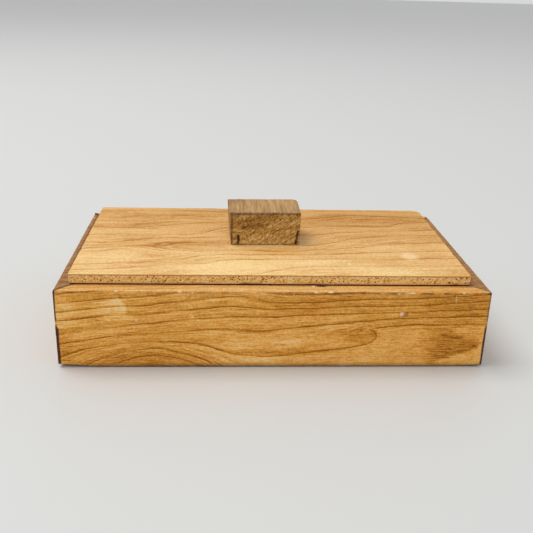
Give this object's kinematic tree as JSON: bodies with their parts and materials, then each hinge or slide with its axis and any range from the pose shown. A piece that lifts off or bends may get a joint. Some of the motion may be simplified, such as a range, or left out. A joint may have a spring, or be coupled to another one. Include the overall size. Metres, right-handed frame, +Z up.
{
  "type": "tool box",
  "caption": "Low wooden tool box with mitred walls and a plywood lid that slides out at the back on two runners, with a block handle.",
  "frame": {"origin": "on the surface the box stands on, under the centre of its walls", "axes": "+X along the box's length to the right, +Y from the front board to the back board, the way the lid slides out, +Z up"},
  "size_m": [0.267, 0.153, 0.081],
  "materials": {
    "softwood_board": "honey-coloured softwood, worn clear finish",
    "softwood_batten": "planed softwood, unfinished",
    "hardboard": "smooth tempered hardboard",
    "wood_filler": "dried wood filler, sanded flush",
    "plywood_veneer": "rotary-cut veneer, worn clear finish",
    "plywood_core": "cross-grain core, raw end grain at the front edge",
    "handle_wood": "sawn block, end grain front and back",
    "steel_brad": "bright steel nail",
    "steel_screw": "zinc-plated steel, slotted head"
  },
  "bodies": {
    "box": {"front_board": "softwood_board", "back_board": "softwood_board", "left_side_board": "softwood_board", "right_side_board": "softwood_board", "bottom_panel": "hardboard", "front_filler_plug": "wood_filler", "corner_brads": "steel_brad"},
    "lid": {"lid_lower_veneer": "plywood_veneer", "lid_core_ply": "plywood_core", "lid_upper_veneer": "plywood_veneer", "lid_left_runner": "softwood_batten", "lid_right_runner": "softwood_batten", "lid_rear_strip": "softwood_board", "lid_brads": "steel_brad", "handle_block": "handle_wood", "handle_screws": "steel_screw"}
  },
  "joints": [
    {"name": "lid_slide", "type": "slide", "parent": "box", "child": "lid", "axis": [0, 1, 0], "range_m": [0, 0.145]}
  ]
}
